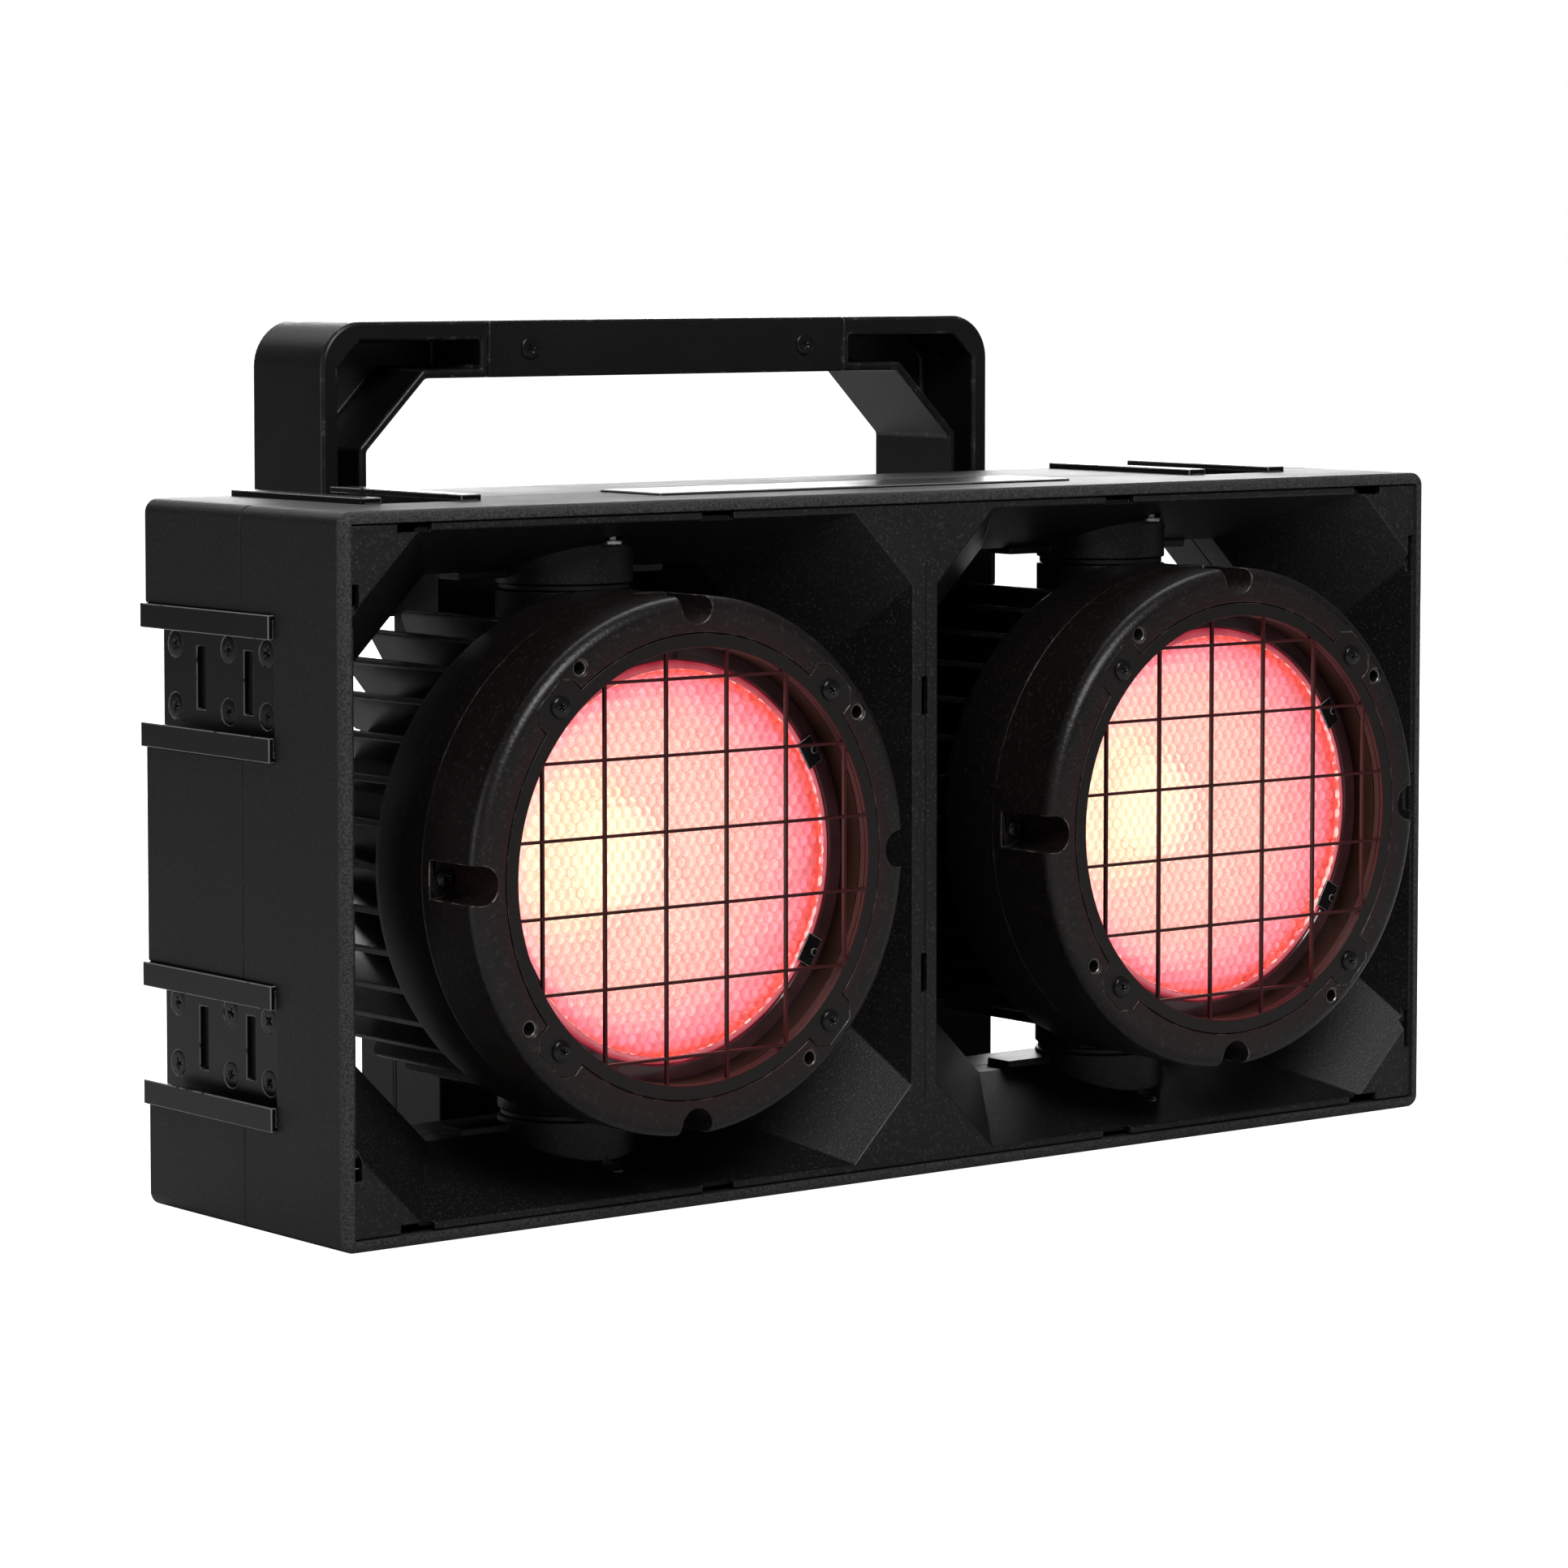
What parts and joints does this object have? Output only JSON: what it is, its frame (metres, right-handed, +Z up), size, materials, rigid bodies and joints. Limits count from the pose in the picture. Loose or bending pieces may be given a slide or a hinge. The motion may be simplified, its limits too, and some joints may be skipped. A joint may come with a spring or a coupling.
{
  "type": "audience blinder light",
  "caption": "Black rectangular audience blinder with round panning lamp heads behind square guard grids, channel mounting brackets, rear driver box and carry handle.",
  "frame": {"origin": "under the middle of the whole object, on the plane that the bottom bracket lips stand on", "axes": "+Z up, +X along the case's width to the right seen from the front, the lamps face -Y"},
  "size_m": [0.481, 0.2176, 0.294],
  "materials": {
    "case_black": "satin black with a fine grain",
    "driver_metal": "satin black paint",
    "bracket_black": "smooth satin black paint",
    "black_screws": "blackened steel",
    "bright_screws": "bright steel",
    "head_black": "black painted casting, satin",
    "guard_black": "thin black painted steel sheet",
    "insert_brass": "nickelled thread insert",
    "window_glass": "clear flat glass",
    "gasket_rubber": "matt black",
    "reflector_bright": "bright, dimpled",
    "board_green": "solder mask",
    "led_warm": "lit phosphor face",
    "pivot_steel": "ground steel",
    "bush_black": "low-friction plastic",
    "display_dark": "gloss",
    "socket_black": "matt",
    "button_grey": "matt"
  },
  "bodies": {
    "case": {"front_shell": "case_black", "rear_shell": "case_black", "front_baffle": "case_black", "rear_baffle": "case_black", "funnel_screws": "bright_screws", "bracket_left_upper": "bracket_black", "bracket_left_lower": "bracket_black", "bracket_right_upper": "bracket_black", "bracket_right_lower": "bracket_black", "bracket_top_left": "bracket_black", "bracket_top_right": "bracket_black", "bracket_bottom_left": "bracket_black", "bracket_bottom_right": "bracket_black", "bracket_screws": "black_screws", "top_plate": "case_black", "left_pivot_bushes": "bush_black", "right_pivot_bushes": "bush_black", "driver_box": "driver_metal", "driver_cover": "case_black", "cover_gasket": "gasket_rubber", "cover_screws": "black_screws", "power_supply_board": "board_green", "led_driver_board": "board_green", "display_window": "display_dark", "power_in_socket": "socket_black", "power_out_socket": "socket_black", "data_in_socket": "socket_black", "data_out_socket": "socket_black", "handle_frame": "case_black", "handle_grip_cover": "case_black", "handle_screws": "black_screws"},
    "left_head": {"left_bezel": "head_black", "left_bezel_screws": "black_screws", "left_guard_grid": "guard_black", "left_guard_screws": "black_screws", "left_accessory_inserts": "insert_brass", "left_front_glass": "window_glass", "left_glass_gasket": "gasket_rubber", "left_reflector": "reflector_bright", "left_led_board": "board_green", "left_led_module": "led_warm", "left_heat_sink": "head_black", "left_pivot_pins": "pivot_steel"},
    "right_head": {"right_bezel": "head_black", "right_bezel_screws": "black_screws", "right_guard_grid": "guard_black", "right_guard_screws": "black_screws", "right_accessory_inserts": "insert_brass", "right_front_glass": "window_glass", "right_glass_gasket": "gasket_rubber", "right_reflector": "reflector_bright", "right_led_board": "board_green", "right_led_module": "led_warm", "right_heat_sink": "head_black", "right_pivot_pins": "pivot_steel"},
    "button_1": {"menu_button_1": "button_grey"},
    "button_2": {"menu_button_2": "button_grey"},
    "button_3": {"menu_button_3": "button_grey"},
    "button_4": {"menu_button_4": "button_grey"}
  },
  "joints": [
    {"name": "left_pan", "type": "hinge", "parent": "case", "child": "left_head", "pos_m": [-0.1195, -0.0342, 0.1195], "axis": [0, 0, 1], "range_deg": [-20, 20]},
    {"name": "right_pan", "type": "hinge", "parent": "case", "child": "right_head", "pos_m": [0.1195, -0.0342, 0.1195], "axis": [0, 0, 1], "range_deg": [-20, 20]},
    {"name": "button_1_press", "type": "slide", "parent": "case", "child": "button_1", "axis": [0, -1, 0], "range_m": [0, 0.0012], "stiffness_N_per_m": 500},
    {"name": "button_2_press", "type": "slide", "parent": "case", "child": "button_2", "axis": [0, -1, 0], "range_m": [0, 0.0012], "stiffness_N_per_m": 500},
    {"name": "button_3_press", "type": "slide", "parent": "case", "child": "button_3", "axis": [0, -1, 0], "range_m": [0, 0.0012], "stiffness_N_per_m": 500},
    {"name": "button_4_press", "type": "slide", "parent": "case", "child": "button_4", "axis": [0, -1, 0], "range_m": [0, 0.0012], "stiffness_N_per_m": 500}
  ]
}
